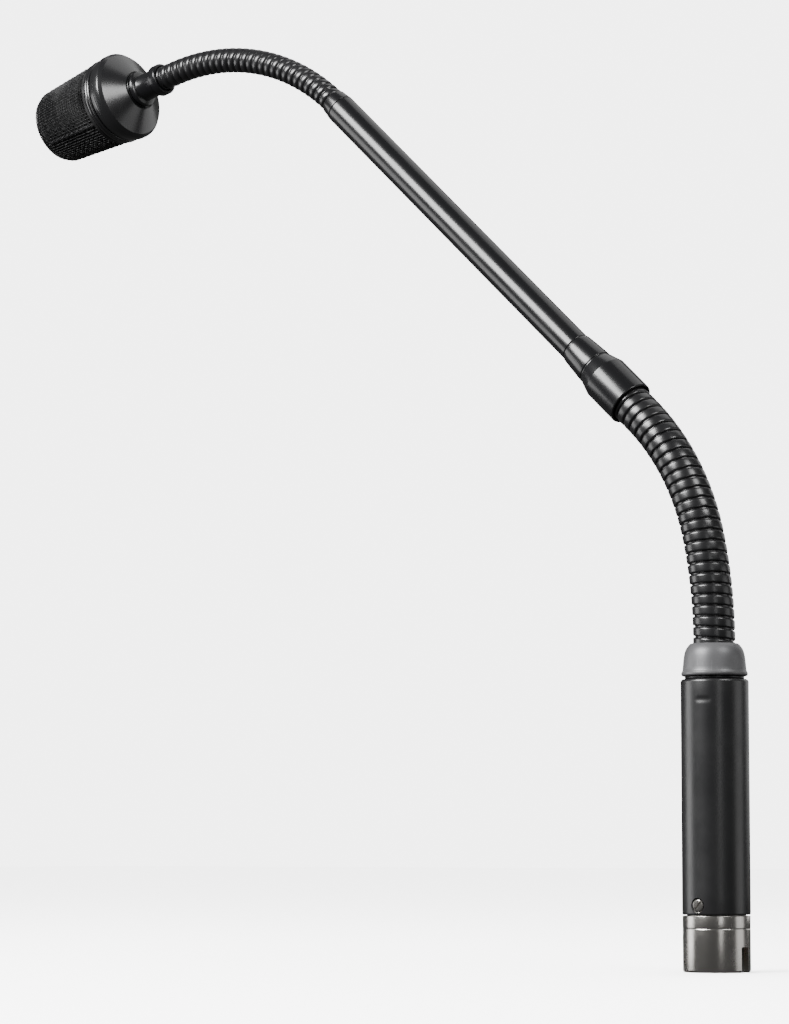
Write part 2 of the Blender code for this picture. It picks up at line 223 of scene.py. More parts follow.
def finish_material(name, base, roughness, metallic=0.0, wear_and_glint=None, grain=0.5,
                    grain_size=2600.0, marks=0.35, turned=0.0, bump=0.02, coat=0.0,
                    specular=0.5):
    """A painted, plated or moulded surface with grain, handling marks (on the grille's wire also
    painted glints) and turning rings.
    """
    made = bpy.data.materials.new(name)
    made.use_nodes = True
    tree = made.node_tree
    shader = tree.nodes["Principled BSDF"]
    shader.inputs["Metallic"].default_value = metallic
    shader.inputs["Specular IOR Level"].default_value = specular
    shader.inputs["Coat Weight"].default_value = coat
    shader.inputs["Coat Roughness"].default_value = 0.12
    where = tree.nodes.new("ShaderNodeTexCoord").outputs["Object"]
    paint = group_node(tree, "paint_grain", where, Grain_Size=grain_size, Depth=grain)
    touch = group_node(tree, "handling_and_glint_marks", where, Amount=marks)
    height = paint.outputs["Height"]
    if turned:
        rings = group_node(tree, "turning_marks", where, Depth=turned)
        height = math_node(tree, "ADD", height, rings.outputs["Height"])
    rough = math_node(tree, "ADD", spread(tree, paint.outputs["Drift"], 0, 1, roughness * 0.88,
                                          roughness * 1.1),
                      math_node(tree, "MULTIPLY", touch.outputs["Mask"], 0.16), True)
    link(tree, rough, shader.inputs["Roughness"])
    blend = tree.nodes.new("ShaderNodeMix")
    blend.data_type = "RGBA"
    blend.inputs["A"].default_value = (*base, 1.0)
    # Under the marks the colour turns lighter; the grille wire's given colour is much lighter
    # still: wear there, and painted glints.
    wear_and_glint_tone = wear_and_glint or tuple(min(1.0, c * 1.7 + 0.004) for c in base)
    blend.inputs["B"].default_value = (*wear_and_glint_tone, 1.0)
    link(tree, touch.outputs["Mask"], blend.inputs["Factor"])
    link(tree, blend.outputs["Result"], shader.inputs["Base Color"])
    raised = tree.nodes.new("ShaderNodeBump")
    raised.inputs["Strength"].default_value = 0.6
    raised.inputs["Distance"].default_value = bump * MM
    link(tree, height, raised.inputs["Height"])
    link(tree, raised.outputs["Normal"], shader.inputs["Normal"])
    return made


def foam_material(name, base):
    made = bpy.data.materials.new(name)
    made.use_nodes = True
    tree = made.node_tree
    shader = tree.nodes["Principled BSDF"]
    shader.inputs["Sheen Weight"].default_value = 0.3
    where = tree.nodes.new("ShaderNodeTexCoord").outputs["Object"]
    cells = tree.nodes.new("ShaderNodeTexVoronoi")
    cells.inputs["Scale"].default_value = 1800.0
    link(tree, where, cells.inputs["Vector"])
    # The pores are darker than the ridges between them: painted shade in the hollows of the foam.
    blend = tree.nodes.new("ShaderNodeMix")
    blend.data_type = "RGBA"
    blend.inputs["A"].default_value = (*(c * 0.4 for c in base), 1.0)
    blend.inputs["B"].default_value = (*base, 1.0)
    link(tree, cells.outputs["Distance"], blend.inputs["Factor"])
    link(tree, blend.outputs["Result"], shader.inputs["Base Color"])
    raised = tree.nodes.new("ShaderNodeBump")
    raised.inputs["Distance"].default_value = 0.3 * MM
    link(tree, cells.outputs["Distance"], raised.inputs["Height"])
    link(tree, raised.outputs["Normal"], shader.inputs["Normal"])
    link(tree, spread(tree, cells.outputs["Distance"], 0, 1, 0.8, 0.98),
         shader.inputs["Roughness"])
    return made


LOOKS = {}


class MICROPHONE_OT_finishes(bpy.types.Operator):
    """Make the materials that every piece uses"""

    bl_idname = "microphone.finishes"
    bl_label = "Finishes"

    def execute(self, context):
        look = context.scene.microphone_finish
        GROUPS["paint_grain"] = grain_group()
        GROUPS["handling_and_glint_marks"] = handling_and_glint_group()
        GROUPS["turning_marks"] = turning_group()
        LOOKS.update({
            "enamel": finish_material("satin_enamel", look.enamel, 0.34, 0.0, bump=0.02,
                                      marks=0.2, specular=0.9),
            "housing": finish_material("housing_enamel", look.enamel, 0.25, 0.0, bump=0.006,
                                       marks=0.12, turned=0.3, specular=0.9),
            "gloss": finish_material("gloss_enamel", look.gloss, 0.26, 0.0, bump=0.003,
                                     marks=0.06, coat=0.15),
            "neck": finish_material("blackened_steel", look.neck, 0.28, 0.0, bump=0.006,
                                    marks=0.15, specular=0.8),
            "collar": finish_material("satin_grey_plate", look.collar, 0.42, 0.3, turned=0.6,
                                      bump=0.02, marks=0.3),
            # The wire's marks are painted much lighter: wear, and painted glints on the wire.
            "mesh": finish_material("coated_wire", look.mesh, 0.34, 0.3, marks=0.8,
                                    wear_and_glint=(0.12, 0.12, 0.12), bump=0.02),
            "steel": finish_material("dark_steel", (0.05, 0.05, 0.052), 0.4, 0.9, turned=0.5),
            "nickel": finish_material("satin_nickel", look.nickel, 0.24, 1.0, turned=0.5),
            "gold": finish_material("gold_contact", look.gold, 0.2, 1.0, turned=0.3,
                                    wear_and_glint=(0.7, 0.5, 0.22)),
            "plastic": finish_material("moulded_plastic", (0.012, 0.012, 0.012), 0.55,
                                       bump=0.06),
            "board": finish_material("circuit_board", (0.012, 0.09, 0.035), 0.42, bump=0.03),
            "rubber": finish_material("soft_rubber", (0.01, 0.01, 0.01), 0.8, bump=0.08),
            "cable": finish_material("cable_sheath", (0.03, 0.03, 0.032), 0.55, bump=0.05),
            "foam": foam_material("open_foam", (0.02, 0.02, 0.021)),
        })
        return {"FINISHED"}


# ---------------------------------------------------------------- modelling helpers


def arm_at(station):
    """Place (metres) and elevation angle of the arm's centre line, a number of mm along it."""
    place, angle = Vector((0, 0, COLLAR_TOP)), pi / 2
    for length, turn in ARM:
        run = min(station, length)
        bend = radians(turn) * run / length
        chord = run * (sin(bend / 2) / (bend / 2) if bend else 1)
        middle = angle - bend / 2
        place += Vector((0, -cos(middle), sin(middle))) * chord
        angle -= bend
        station -= run
        if station <= 0:
            break
    return place * MM, angle


def tangent_at(station):
    angle = arm_at(station)[1]
    return Vector((0, -cos(angle), sin(angle)))


def only(obj):
    bpy.ops.object.select_all(action="DESELECT")
    obj.select_set(True)
    bpy.context.view_layer.objects.active = obj
    return obj


def edit(obj):
    only(obj)
    bpy.ops.object.mode_set(mode="EDIT")
    return bmesh.from_edit_mesh(obj.data)


def leave():
    bpy.ops.object.mode_set(mode="OBJECT")


def start_point(name):
    """A new object holding one vertex at the origin, all selected, in edit mode."""
    bpy.ops.object.select_all(action="DESELECT")
    bpy.ops.mesh.primitive_plane_add(size=MM)
    obj = bpy.context.active_object
    obj.name = obj.data.name = name
    bpy.ops.object.mode_set(mode="EDIT")
    bpy.ops.mesh.merge(type="CENTER")
    return obj


def draw_profile(name, points):
    """The line of a profile, points (radius, height) in mm, drawn by extruding one vertex."""
    obj = start_point(name)
    last = (0.0, 0.0)
    for index, (radius, height) in enumerate(points):
        step = ((radius - last[0]) * MM, 0, (height - last[1]) * MM)
        if index == 0:
            bpy.ops.transform.translate(value=step)
        else:
            bpy.ops.mesh.extrude_region_move(TRANSFORM_OT_translate={"value": step})
        last = (radius, height)
    return obj


def lathe(name, points, steps=None, bevel=0.15, segments=3):
    """A turned piece: the profile is drawn, spun round Z, closed, and its edges are eased."""
    obj = draw_profile(name, points)
    if points[0][0] > 0 and points[-1][0] > 0:
        shape = bmesh.from_edit_mesh(obj.data)
        shape.verts.ensure_lookup_table()
        for vert in shape.verts:
            vert.select = vert.index in (0, len(shape.verts) - 1)
        shape.select_flush_mode()
        bmesh.update_edit_mesh(obj.data)
        bpy.ops.mesh.edge_face_add()
    bpy.ops.mesh.select_all(action="SELECT")
    bpy.ops.mesh.spin(steps=steps or bpy.context.scene.microphone_sizes.round_steps,
                      angle=2 * pi, center=(0, 0, 0), axis=(0, 0, 1))
    bpy.ops.mesh.select_all(action="SELECT")
    bpy.ops.mesh.remove_doubles(threshold=MERGE_DISTANCE)
    bpy.ops.mesh.normals_make_consistent(inside=False)
    leave()
    if bevel:
        ease(obj, bevel, segments)
    return obj


def ease(obj, width, segments=3, angle=24):
    """Rounds the sharp edges with a Bevel modifier, applied."""
    only(obj)
    modifier = obj.modifiers.new("Ease", "BEVEL")
    modifier.width = width * MM
    modifier.segments = segments
    modifier.limit_method = "ANGLE"
    modifier.angle_limit = radians(angle)
    modifier.use_clamp_overlap = True
    bpy.ops.object.modifier_apply(modifier=modifier.name)


def carve(obj, cutter):
    """Cuts one piece with another, and takes the cutter away."""
    only(obj)
    modifier = obj.modifiers.new("Carve", "BOOLEAN")
    modifier.operation = "DIFFERENCE"
    modifier.object = cutter
    bpy.ops.object.modifier_apply(modifier=modifier.name)
    bpy.data.objects.remove(cutter)


def block(name, dimensions, centre, bevel=0.0, turn=(0, 0, 0)):
    """A box, mm, with eased edges when bevel is given."""
    bpy.ops.object.select_all(action="DESELECT")
    bpy.ops.mesh.primitive_cube_add(size=MM)
    obj = bpy.context.active_object
    obj.name = obj.data.name = name
    bpy.ops.object.mode_set(mode="EDIT")
    bpy.ops.transform.resize(value=dimensions)
    leave()
    obj.rotation_euler = turn
    obj.location = Vector(centre) * MM
    bpy.ops.object.transform_apply(location=True, rotation=True, scale=True)
    if bevel:
        ease(obj, bevel)
    return obj


def rod(name, radius, length, centre, turn=(0, 0, 0), sides=32):
    bpy.ops.object.select_all(action="DESELECT")
    bpy.ops.mesh.primitive_cylinder_add(vertices=sides, radius=radius * MM, depth=length * MM)
    obj = bpy.context.active_object
    obj.name = obj.data.name = name
    obj.rotation_euler = turn
    obj.location = Vector(centre) * MM
    bpy.ops.object.transform_apply(location=True, rotation=True, scale=True)
    return obj


def smooth(obj, angle=32):
    only(obj)
    bpy.ops.object.shade_smooth_by_angle(angle=radians(angle))
    return obj


def settle(obj, station=None):
    """Puts a piece modelled along Z at its place on the arm, into its mesh."""
    only(obj)
    if station is not None:
        place, angle = arm_at(station)
        obj.location = place
        obj.rotation_euler = (pi / 2 - angle, 0, 0)
        bpy.ops.object.transform_apply(location=True, rotation=True, scale=True)
    return obj


def complete(obj, look, body, slot, *nodes, angle=32):
    """Smooths a piece, gives it its finish, and puts it on its body in place of CAD nodes."""
    smooth(obj, angle)
    obj.data.materials.clear()
    obj.data.materials.append(LOOKS[look])
    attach(obj, body)
    if nodes:
        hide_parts(*nodes)
    return obj


def twin(obj):
    """A copy with its own mesh."""
    copy = obj.copy()
    copy.data = obj.data.copy()
    bpy.context.scene.collection.objects.link(copy)
    return copy


def join(target, *others):
    only(target)
    for other in others:
        other.select_set(True)
    bpy.ops.object.join()
    return target


def quarter(centre, radius, start, end, count=6):
    """Points of an arc in a profile, mm, from angle start to end in degrees."""
    angles = [radians(start + (end - start) * i / count) for i in range(count + 1)]
    return [(centre[0] + radius * cos(a), centre[1] + radius * sin(a)) for a in angles]


# ---------------------------------------------------------------- pieces


class MICROPHONE_OT_plug(bpy.types.Operator):
    """Model the plug: shell, insert, pins and the screw that locks it"""

    bl_idname = "microphone.plug"
    bl_label = "Plug"

    def execute(self, context):
        shell = lathe("visual_plug_shell", [
            (8.2, 24.0), (8.2, 15.5), (9.4, 15.5), (9.4, 12.2), (9.3, 12.0), (9.4, 11.8),
            (9.4, 0.5), (9.0, 0.0), (8.05, 0.0), (8.05, 15.0), (7.2, 15.0), (7.2, 24.0)],
            bevel=0.1)
        carve(shell, block("keyway", (3.2, 4, 9), (0, 9.4, 2.5), 0.3))
        carve(shell, block("latch_window", (4.4, 4, 3.6), (0, -9.4, 8.5), 0.5))
        carve(shell, rod("screw_hole", 1.3, 6, (8, 0, SCREW_HEIGHT), (0, pi / 2, 0)))
        complete(shell, "nickel", "base", "nickel", "plug_shell")
        insert = lathe("visual_plug_insert", [
            (0, 19.0), (6.0, 19.0), (6.0, 14.7), (7.7, 14.7), (7.7, 12.6), (7.0, 12.6),
            (6.7, 12.9), (6.4, 12.6), (0, 12.6)], bevel=0.08)
        for number, degrees in enumerate((40, 140, 270), 1):
            x, y = 4.6 * cos(radians(degrees)), 4.6 * sin(radians(degrees))
            carve(insert, rod("pin_hole", 1.5, 20, (x, y, 16)))
            pin = lathe(f"visual_pin_{number}", [
                (0, 22.4), (0.9, 22.4), (1.2, 21.8), (1.2, 1.9), (1.1, 1.45), (0.85, 1.1),
                (0.45, 0.88), (0, 0.8)], 40, bevel=0.05)
            pin.location = (x * MM, y * MM, 0)
            bpy.ops.object.transform_apply(location=True)
            complete(pin, "gold", "base", "gold", f"pin_{number}")
        complete(insert, "plastic", "base", "plastic", "plug_insert")
        screw = lathe("visual_insert_screw", [
            (0, 0.8), (1.45, 0.8), (1.7, 0.65), (1.8, 0.4), (1.8, 0.1), (1.0, 0.1),
            (1.0, -2.3), (0, -2.3)], 48, bevel=0.06)
        carve(screw, block("slot", (6.0, 0.5, 0.8), (0, 0, 0.8), 0, (0, 0, radians(-42))))
        screw.location = (8.6 * MM, 0, SCREW_HEIGHT * MM)
        screw.rotation_euler = (0, pi / 2, 0)
        only(screw)
        bpy.ops.object.transform_apply(location=True, rotation=True)
        complete(screw, "nickel", "base", "nickel", "insert_screw")
        return {"FINISHED"}


class MICROPHONE_OT_base_tube(bpy.types.Operator):
    """Model the long base tube with its rounded top and two crimps"""

    bl_idname = "microphone.base_tube"
    bl_label = "Base Tube"

    def execute(self, context):
        r = context.scene.microphone_sizes.tube_radius / MM
        tube = lathe("visual_base_tube", [
            (6.3, 81.1), (r - 0.9, 81.1), *quarter((r - 0.9, 80.2), 0.9, 75, 0, 5),
            *((r, CRIMP_HEIGHT + 1.8 - 0.3 * row) for row in range(13)),
            (r, 20.9), (r, 16.1), (r - 0.2, 15.8), (8.5, 15.8), (8.5, 77.7), (6.3, 77.7)],
            160, bevel=0.08)
        carve(tube, rod("screw_seat", 2.1, 6, (10, 0, SCREW_HEIGHT), (0, pi / 2, 0), 48))
        for degrees in (14, 194):
            self.crimp(tube, radians(degrees), r)
        complete(tube, "enamel", "base", "painted", "base_tube")
        return {"FINISHED"}

    def crimp(self, tube, turn, r):
        """A shallow dent, longer round the tube than along it."""
        outward = Vector((cos(turn), sin(turn), 0))
        shape = edit(tube)
        bpy.ops.mesh.select_mode(type="VERT")
        for vert in shape.verts:
            side = outward.cross(vert.co).z
            vert.select = (abs(vert.co.z - CRIMP_HEIGHT * MM) < 0.0001 and abs(side) < 0.0017
                           and vert.co.dot(outward) > (r - 0.6) * MM)
        shape.select_flush_mode()
        bmesh.update_edit_mesh(tube.data)
        bpy.ops.transform.translate(
            value=outward * -0.13 * MM, use_proportional_edit=True,
            proportional_edit_falloff="SMOOTH", proportional_size=1.15 * MM,
            use_proportional_connected=True)
        leave()


class MICROPHONE_OT_collar(bpy.types.Operator):
    """Model the grey collar and the dark bush below it"""

    bl_idname = "microphone.collar"
    bl_label = "Collar and Bush"

    def execute(self, context):
        r = context.scene.microphone_sizes.collar_radius / MM
        collar = lathe("visual_neck_collar", [
            (6.25, 91.0), (6.45, 91.05), (6.8, 90.92), (7.3, 90.4), (7.78, 89.75),
            (8.12, 89.05), (8.36, 88.3), (8.52, 87.5), (8.64, 86.6), (8.74, 85.6),
            (8.84, 84.5), (8.93, 83.6), (9.06, 83.2), (r - 0.06, 82.95), (r, 82.65),
            (r - 0.04, 82.3), (r - 0.2, 82.05), (r - 0.5, 81.9), (3.0, 81.9), (3.0, 83.1),
            (6.25, 83.1)], 144, bevel=0.08)
        complete(collar, "collar", "base", "collar", "neck_collar")
        bush = lathe("visual_neck_bush", [
            (8.2, 81.8), (8.3, 81.7), (8.3, 81.3), (8.2, 81.2), (6.0, 81.2), (6.0, 71.3),
            (3.0, 71.3), (3.0, 81.8)], 96, bevel=0.05)
        complete(bush, "steel", "base", "dark", "neck_bush")
        return {"FINISHED"}


FLAT_RIB = ((0.0, 1.0), (0.05, 1.0), (0.08, 0.6), (0.115, 0.22), (0.16, 0.05), (0.25, 0.0),
            (0.5, 0.0))
ROUND_RIB = ((0.0, 1.0), (0.04, 0.98), (0.09, 0.72), (0.16, 0.36), (0.25, 0.12), (0.36, 0.02),
             (0.5, 0.0))


def wound_tube(name, radius, pitch, low, high, rib, steps):
    """A straight wound neck along Z, left-handed, mm. The rib is half a turn's outline."""
    depth = 0.1 * pitch + 0.28
    ridge = rib + tuple((1 - along, drop) for along, drop in reversed(rib[:-1]))
    obj = draw_profile(name, [(radius - depth * drop, pitch * along) for along, drop in ridge])
    leave()
    turns = int((high - low) / pitch) + 3
    only(obj)
    screw = obj.modifiers.new("Wind", "SCREW")
    screw.angle = -2 * pi
    screw.screw_offset = pitch * MM
    screw.iterations = turns
    screw.steps = screw.render_steps = steps
    screw.use_merge_vertices = False
    bpy.ops.object.modifier_apply(modifier=screw.name)
    edit(obj)
    bpy.ops.mesh.select_all(action="SELECT")
    bpy.ops.mesh.remove_doubles(threshold=MERGE_DISTANCE)
    bpy.ops.transform.translate(value=(0, 0, (low - 1.5 * pitch) * MM))
    leave()
    return obj


def trim(obj, station, keep_above):
    """Cuts a bent piece square across the arm at a station and fills the cut."""
    edit(obj)
    bpy.ops.mesh.select_all(action="SELECT")
    place = arm_at(station)[0]
    bpy.ops.mesh.bisect(plane_co=place, plane_no=tangent_at(station), use_fill=True,
                        clear_inner=keep_above, clear_outer=not keep_above)
    leave()
    return obj


def guide_curve(start, end):
    """A curve along the arm's centre line, for the Curve modifier."""
    data = bpy.data.curves.new("arm_line", "CURVE")
    data.dimensions = "3D"
    spline = data.splines.new("POLY")
    count = int((end - start) * 2)
    spline.points.add(count)
    for index, point in enumerate(spline.points):
        point.co = (*arm_at(start + (end - start) * index / count)[0], 1)
    obj = bpy.data.objects.new("arm_line", data)
    bpy.context.scene.collection.objects.link(obj)
    return obj


def follow_arm(obj, start, end):
    """Bends a straight piece, whose Z is its place along the arm in mm, over the arm's line."""
    line = guide_curve(start, end)
    edit(obj)
    bpy.ops.mesh.select_all(action="SELECT")
    bpy.ops.transform.translate(value=(0, 0, -start * MM))
    leave()
    only(obj)
    modifier = obj.modifiers.new("Follow", "CURVE")
    modifier.object = line
    modifier.deform_axis = "POS_Z"
    bpy.ops.object.modifier_apply(modifier=modifier.name)
    bpy.data.objects.remove(line)
    return obj


def bent_neck(prefix, radius, pitch, rib, ends, first, step, cable_node, steps):
    """One wound neck over the arm, cut midway between hinges into lengths."""
    low, high = ends
    whole = wound_tube(prefix, radius, pitch, low, high, rib, steps)
    follow_arm(whole, low - 6, high + 6)
    cuts = [low] + [first + step * (i + 0.5) for i in range(7)] + [high]
    for index in range(8):
        start, end = cuts[index], cuts[index + 1]
        length = whole if index == 7 else twin(whole)
        length.name = length.data.name = f"visual_{prefix}_{index + 1}"
        trim(length, start, True)
        trim(length, end, False)
        edit(length)
        bpy.ops.mesh.select_all(action="SELECT")
        bpy.ops.mesh.normals_make_consistent(inside=False)
        leave()
        smooth(length, 50)
        length.data.materials.clear()
        length.data.materials.append(LOOKS["neck"])
        hinge = first + step * index
        arm_at(max(start, hinge - step / 2))[0]
        arm_at(min(end, hinge + step / 2))[0]
        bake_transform(length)
        nodes = [f"{prefix}_link_{index + 1}"] if index < 7 else [f"{prefix}_end"]
        if index == 0:
            nodes += [f"{prefix}_root", cable_node]
        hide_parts(*nodes)


class MICROPHONE_OT_lower_neck(bpy.types.Operator):
    """Model the thick wound neck in lengths cut between its hinges"""

    bl_idname = "microphone.lower_neck"
    bl_label = "Lower Neck"

    def execute(self, context):
        sizes = context.scene.microphone_sizes
        bent_neck("lower_neck", sizes.lower_neck_radius / MM, sizes.lower_neck_pitch / MM,
                  FLAT_RIB, (-7.2, 88.0), 4.0, 10.0, "lower_neck_cable", 56)
        return {"FINISHED"}


class MICROPHONE_OT_upper_neck(bpy.types.Operator):
    """Model the thin wound neck in lengths cut between its hinges"""

    bl_idname = "microphone.upper_neck"
    bl_label = "Upper Neck"

    def execute(self, context):
        sizes = context.scene.microphone_sizes
        bent_neck("upper_neck", sizes.upper_neck_radius / MM, sizes.upper_neck_pitch / MM,
                  ROUND_RIB, (225.4, 307.4), 233.0, 9.8, "upper_neck_cable", 48)
        return {"FINISHED"}


class MICROPHONE_OT_stem(bpy.types.Operator):
    """Model the coupler, the straight stem and its top ferrule"""

    bl_idname = "microphone.stem"
    bl_label = "Stem"

    def execute(self, context):
        sizes = context.scene.microphone_sizes
        c, s = sizes.coupler_radius / MM, sizes.stem_radius / MM
        coupler = lathe("visual_neck_coupler", [
            (4.75, 25.9), (4.9, 25.8), (5.05, 24.6), (5.3, 21.8), (5.52, 19.0), (5.66, 16.9),
            (5.45, 16.7), (5.45, 16.35), (5.75, 16.1), (c, 12.0), (c, 0.25), (c - 0.15, 0.0),
            (6.35, 0.0), (6.35, 11.4), (3.9, 11.4), (3.9, 25.9)], 128, bevel=0.1)
        complete(settle(coupler, COUPLER_RIM), "gloss", "stem", "gloss", "neck_coupler",
                 angle=12)
        stem = lathe("visual_stem_tube", [
            (s - 0.08, 147.0), (s, 146.85), (s, 146.6), (s, 26.6), (s, 26.3), (s - 0.12, 26.1),
            (3.6, 26.1),
            (3.6, 18.0), (2.8, 18.0), (2.8, 30.0), (3.9, 31.0), (3.9, 147.0)], 96, bevel=0.05)
        complete(settle(stem, COUPLER_RIM), "gloss", "stem", "gloss", "stem_tube", angle=15)
        ferrule = lathe("visual_stem_ferrule", [
            (4.05, 151.0), (4.2, 150.9), (4.35, 149.4), (s - 0.02, 147.5), (s - 0.02, 147.25),
            (s - 0.15, 147.1), (3.5, 147.1), (3.5, 139.5), (1.6, 139.5), (1.6, 148.2),
            (4.05, 148.2)], 80, bevel=0.06)
        complete(settle(ferrule, COUPLER_RIM), "gloss", "stem", "gloss", "stem_ferrule", angle=15)
        return {"FINISHED"}


class MICROPHONE_OT_head(bpy.types.Operator):
    """Model the head's ferrule, flared housing and threaded ring"""

    bl_idname = "microphone.head"
    bl_label = "Head Housing"

    def execute(self, context):
        r = context.scene.microphone_sizes.head_radius / MM
        ferrule = lathe("visual_head_ferrule", [
            (1.5, 5.6), (3.8, 5.6), (3.8, 0.1), (5.5, 0.1), (5.8, -0.2), (5.85, -0.7),
            (5.7, -1.2), (5.2, -1.55), (4.45, -1.7), (4.3, -2.1), (4.3, -7.2), (4.95, -7.6),
            (5.1, -8.0), (5.1, -10.2), (4.95, -10.5), (4.2, -10.6), (4.2, -7.7), (1.5, -7.7)],
            96, bevel=0.1)
        complete(settle(ferrule, HEAD_REAR), "gloss", "head", "gloss", "head_ferrule")
        housing = lathe("visual_head_housing", [
            (11.8, 9.8), (13.7, 9.8), (13.85, 9.6), (13.85, 8.9), (13.95, 8.4), (14.2, 8.05),
            (r, 7.7), (r, 6.2), (r - 0.08, 5.75), (r - 0.95, 4.65), (6.5, 0.62), (6.3, 0.4),
            (6.2, 0.9), (5.9, 0.9), (5.8, 0.3), (4.65, 0.3), (4.1, 0.9), (4.1, 2.9),
            (7.2, 2.9), (11.8, 7.2)], 160, bevel=0.1)
        complete(settle(housing, HEAD_REAR), "housing", "head", "painted", "head_housing",
                 angle=15)
        ring = lathe("visual_head_ring", [
            (10.2, 12.2), (13.7, 12.2), (14.0, 11.95), (14.1, 11.5), (14.0, 11.1),
            (13.75, 10.95), (14.0, 10.8), (14.1, 10.5), (13.95, 10.15), (13.6, 10.0),
            (10.2, 10.0)], 144, bevel=0.06)
        complete(settle(ring, HEAD_REAR), "housing", "head", "gloss", "head_ring", angle=30)
        return {"FINISHED"}


def grille_profile(foot_radius, radius, foot, front, corner, spacing):
    """Points down a tapered cup's outside, evenly spaced, from its flat front to its foot."""
    flat = radius - corner
    arc_count = max(4, round(corner * pi / 2 / spacing))
    points = [(flat, front)]
    points += quarter((flat, front - corner), corner, 90 - 90 / arc_count, 0, arc_count - 1)
    length = front - corner - foot
    rows = round(length / spacing)
    for row in range(1, rows + 1):
        along = row / rows
        points.append((radius + (foot_radius - radius) * along, front - corner - length * along))
    return points


class MICROPHONE_OT_grille(bpy.types.Operator):
    """Model the woven grille, its rims, seam and foam"""

    bl_idname = "microphone.grille"
    bl_label = "Grille"

    def execute(self, context):
        sizes = context.scene.microphone_sizes
        foot_radius, cell = sizes.grille_radius / MM - 0.25, sizes.mesh_cell / MM
        radius, foot, front, corner = foot_radius - GRILLE_TAPER, 12.5, 38.7, 4.5
        around = 2 * round(pi * foot_radius / cell)
        cup = lathe("visual_grille",
                    grille_profile(foot_radius, radius, foot, front, corner, cell), around,
                    bevel=0)
        self.weave(cup, around)
        self.wires(cup, 0.42)
        sheet = self.front_sheet(radius - corner, front, cell)
        rims = lathe("grille_rims", [
            (foot_radius + 0.2, 13.3), (foot_radius + 0.25, 12.4), (12.9, 12.4), (12.8, 13.3)],
            96, 0.08)
        ring = lathe("front_rim", [
            (radius - corner + 0.2, front + 0.1), (radius - corner + 0.2, front - 0.25),
            (radius - corner - 0.3, front - 0.25), (radius - corner - 0.3, front + 0.1)],
            96, 0.08)
        join(cup, sheet, rims, ring, self.seam(foot_radius))
        complete(settle(cup, HEAD_REAR), "mesh", "head", "mesh", "grille")
        foam = lathe("visual_grille_foam", [
            (0, 38.0), (7.4, 38.0), *quarter((7.6, 34.2), 3.75, 82, 0), (12.65, 16.0),
            (12.7, 13.4), (10.8, 13.4), (10.2, 16.0), *quarter((7.4, 34.2), 2.2, 0, 82),
            (7.2, 36.3), (0, 36.3)], 72, bevel=0.2)
        complete(settle(foam, HEAD_REAR), "foam", "head", "foam", "grille_foam")
        return {"FINISHED"}

    def seam(self, foot_radius):
        """The lap of the mesh: a flat wire down one side, held by a row of small welds."""
        seam = block("grille_seam", (0.5, 0.3, 21.2), (0, 0, 0), 0.08)
        weld = block("weld", (1.0, 0.6, 1.0), (0, 0.05, -9.4), 0.22)
        welds = [weld]
        for index in range(1, 9):
            copy = twin(weld)
            edit(copy)
            bpy.ops.mesh.select_all(action="SELECT")
            bpy.ops.transform.translate(value=(0, 0, 2.35 * index * MM))
            leave()
            welds.append(copy)
        join(seam, *welds)
        seam.rotation_euler = (atan2(GRILLE_TAPER, 21.7), 0, 0)
        seam.location = (0, (foot_radius - 0.72) * MM, 23.6 * MM)
        bpy.ops.object.transform_apply(location=True, rotation=True)
        seam.rotation_euler = (0, 0, radians(-132))
        bpy.ops.object.transform_apply(rotation=True)
        return seam

    def weave(self, cup, around):
        """Pushes every other crossing out and the rest in, as wires pass over and under."""
        for parity, shift in ((0, 0.1), (1, -0.1)):
            shape = edit(cup)
            bpy.ops.mesh.select_mode(type="VERT")
            bpy.ops.mesh.select_all(action="DESELECT")
            heights = sorted({round(v.co.z / MM, 2) for v in shape.verts})
            rows = {height: index for index, height in enumerate(heights)}
            for vert in shape.verts:
                turn = round(atan2(vert.co.y, vert.co.x) / (2 * pi) * around) % around
                row = rows[round(vert.co.z / MM, 2)]
                vert.select = (turn + row) % 2 == parity
            shape.select_flush_mode()
            bmesh.update_edit_mesh(cup.data)
            bpy.ops.transform.shrink_fatten(value=shift * MM)
            leave()

    def wires(self, obj, thickness):
        only(obj)
        modifier = obj.modifiers.new("Wires", "WIREFRAME")
        modifier.thickness = thickness * MM
        modifier.use_even_offset = False
        modifier.use_boundary = True
        bpy.ops.object.modifier_apply(modifier=modifier.name)

    def front_sheet(self, radius, front, cell):
        """The flat front of the mesh: a square weave trimmed to a disc."""
        bpy.ops.object.select_all(action="DESELECT")
        count = 2 * int(radius / cell) + 3
        bpy.ops.mesh.primitive_grid_add(x_subdivisions=count, y_subdivisions=count,
                                        size=(count) * cell * MM)
        sheet = bpy.context.active_object
        shape = edit(sheet)
        bpy.ops.mesh.select_mode(type="VERT")
        for vert in shape.verts:
            vert.select = vert.co.xy.length > radius * MM + 0.0002
        shape.select_flush_mode()
        bmesh.update_edit_mesh(sheet.data)
        bpy.ops.mesh.delete(type="VERT")
        bpy.ops.mesh.select_all(action="SELECT")
        bpy.ops.transform.translate(value=(0, 0, front * MM))
        leave()
        self.wires(sheet, 0.36)
        return sheet


INNER_LOOKS = {
    "board": ("preamp_board", "capsule_board"),
    "steel": ("output_transformer", "capsule_mesh"),
    "plastic": ("filter_capacitor", "preamp_chip"),
    "nickel": ("bush_nut", "ferrule_nut", "capsule"),
    "rubber": ("capsule_cradle",),
    "cable": ("base_lead", "stem_cable", "head_lead"),
}


class MICROPHONE_OT_inner_parts(bpy.types.Operator):
    """Give the electronics, nuts and leads their finishes"""

    bl_idname = "microphone.inner_parts"
    bl_label = "Inner Parts"

    def execute(self, context):
        for look, nodes in INNER_LOOKS.items():
            for node in nodes:
                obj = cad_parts[node]
                obj.data.materials.clear()
                obj.data.materials.append(LOOKS[look])
        return {"FINISHED"}


# ---------------------------------------------------------------- stage


